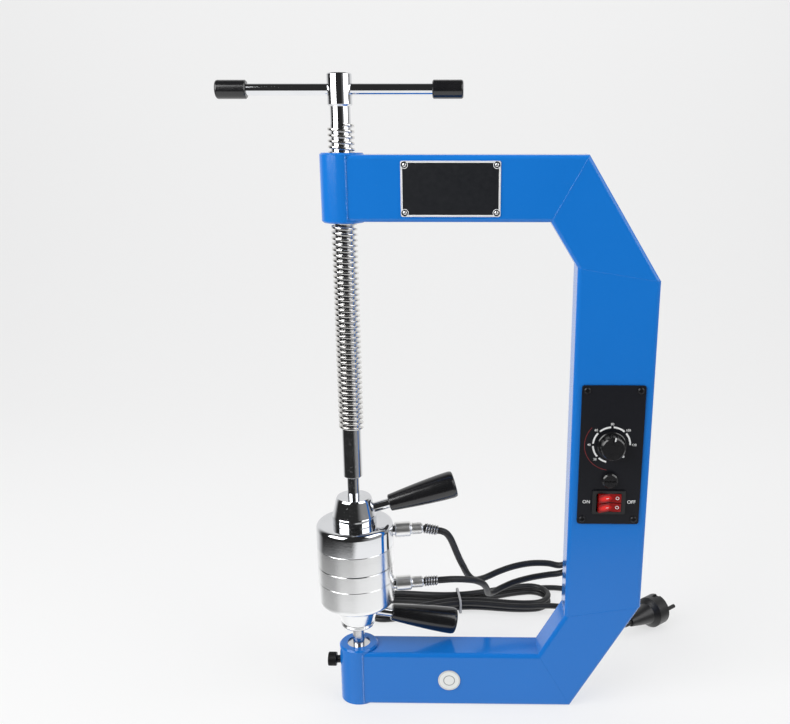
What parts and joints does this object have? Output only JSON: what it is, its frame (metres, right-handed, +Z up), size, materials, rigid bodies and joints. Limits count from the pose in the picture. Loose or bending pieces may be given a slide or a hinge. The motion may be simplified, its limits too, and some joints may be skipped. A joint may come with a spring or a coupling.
{
  "type": "tire vulcanizer",
  "caption": "Bench tyre spot vulcanizer: a blue C-frame whose hand screw presses a heated upper head onto a heated lower one, with handles, leads and a timer panel.",
  "frame": {"origin": "where the press axis meets the bench, under the lower boss", "axes": "+Z up along the press axis, +X from the press axis to the column, +Y from the panel side to the back"},
  "size_m": [0.4759, 0.2738, 0.6232],
  "materials": {
    "blue_paint": "glossy powder coat",
    "steel": "bright turned steel",
    "chrome": "polished chrome",
    "aluminium": "satin turned",
    "brass": "turned",
    "black_screw": "black oxide",
    "black_plate": "satin black print",
    "white_badge": "satin white",
    "gloss_black": "glossy",
    "matte_black": "satin",
    "red_rocker": "translucent red",
    "pale_plastic": "plain",
    "grey_tie": "plain",
    "rubber": "matt"
  },
  "bodies": {
    "frame": {"upper_arm": "blue_paint", "upper_brace": "blue_paint", "column": "blue_paint", "lower_brace": "blue_paint", "lower_arm": "blue_paint", "nut_boss": "blue_paint", "socket_boss": "blue_paint", "socket_bush": "steel", "lower_post": "steel", "lower_thrust_washer": "brass", "name_plate": "black_plate", "name_plate_rivets": "aluminium", "round_badge": "white_badge", "control_panel": "black_plate", "panel_screws": "chrome", "timer_body": "matte_black", "fuse_holder": "matte_black", "fuse_cap": "gloss_black", "switch_housing": "matte_black", "switch_pin": "steel", "terminal_block": "pale_plastic", "lead_glands": "matte_black", "mains_gland": "matte_black", "upper_lead": "rubber", "lower_lead": "rubber", "mains_cord": "rubber", "mains_hank": "rubber", "hank_tie": "grey_tie", "mains_plug": "matte_black"},
    "thrust_pad": {"thrust_washer": "brass"},
    "screw": {"press_screw": "chrome"},
    "bar": {"cross_bar": "chrome", "bar_caps": "gloss_black"},
    "upper_head": {"upper_cone": "chrome", "upper_cover": "chrome", "upper_plate": "aluminium", "upper_stud": "steel", "upper_heater": "steel", "upper_thermostat": "pale_plastic", "upper_handle_rod": "chrome", "upper_grip": "gloss_black", "upper_socket": "brass", "upper_plug": "chrome", "upper_relief": "rubber"},
    "lower_head": {"lower_cone": "aluminium", "lower_cover": "aluminium", "lower_plate": "aluminium", "lower_stud": "steel", "lower_heater": "steel", "lower_thermostat": "pale_plastic", "lower_handle_rod": "steel", "lower_grip": "gloss_black", "lower_socket": "brass", "lower_plug": "chrome", "lower_relief": "rubber"},
    "clamp": {"clamp_screw": "black_screw"},
    "timer": {"timer_knob": "gloss_black", "timer_shaft": "steel"},
    "upper_switch": {"rocker_upper": "red_rocker"},
    "lower_switch": {"rocker_lower": "red_rocker"}
  },
  "joints": [
    {"name": "press_slide", "type": "slide", "parent": "frame", "child": "thrust_pad", "axis": [0, 0, 1], "range_m": [0, 0.1901]},
    {"name": "screw_turn", "type": "hinge", "parent": "thrust_pad", "child": "screw", "pos_m": [0, 0, 0.4], "axis": [0, 0, 1], "range_deg": [0, 13680]},
    {"name": "cross_bar_slide", "type": "slide", "parent": "screw", "child": "bar", "axis": [1, 0, 0], "range_m": [-0.07, 0.07]},
    {"name": "upper_head_swivel", "type": "hinge", "parent": "thrust_pad", "child": "upper_head", "pos_m": [0, 0, 0.2], "axis": [0, 0, 1], "range_deg": [-60, 15]},
    {"name": "lower_head_swivel", "type": "hinge", "parent": "frame", "child": "lower_head", "pos_m": [0, 0, 0.1], "axis": [0, 0, 1], "range_deg": [-60, 15]},
    {"name": "clamp_screw_turn", "type": "hinge", "parent": "frame", "child": "clamp", "pos_m": [-0.03, 0, 0.042], "axis": [-1, 0, 0], "range_deg": [0, 360]},
    {"name": "timer_turn", "type": "hinge", "parent": "frame", "child": "timer", "pos_m": [0.25, -0.02, 0.2895], "axis": [0, -1, 0], "range_deg": [-125, 150]},
    {"name": "rocker_upper_tip", "type": "hinge", "parent": "frame", "child": "upper_switch", "pos_m": [0.25, -0.018, 0.2358], "axis": [0, 0, 1], "range_deg": [-14, 0]},
    {"name": "rocker_lower_tip", "type": "hinge", "parent": "frame", "child": "lower_switch", "pos_m": [0.25, -0.018, 0.2262], "axis": [0, 0, 1], "range_deg": [-14, 0]}
  ],
  "couplings": [
    {"joint": "press_slide", "follows": "screw_turn", "m_per_rad": 0.00079577}
  ]
}
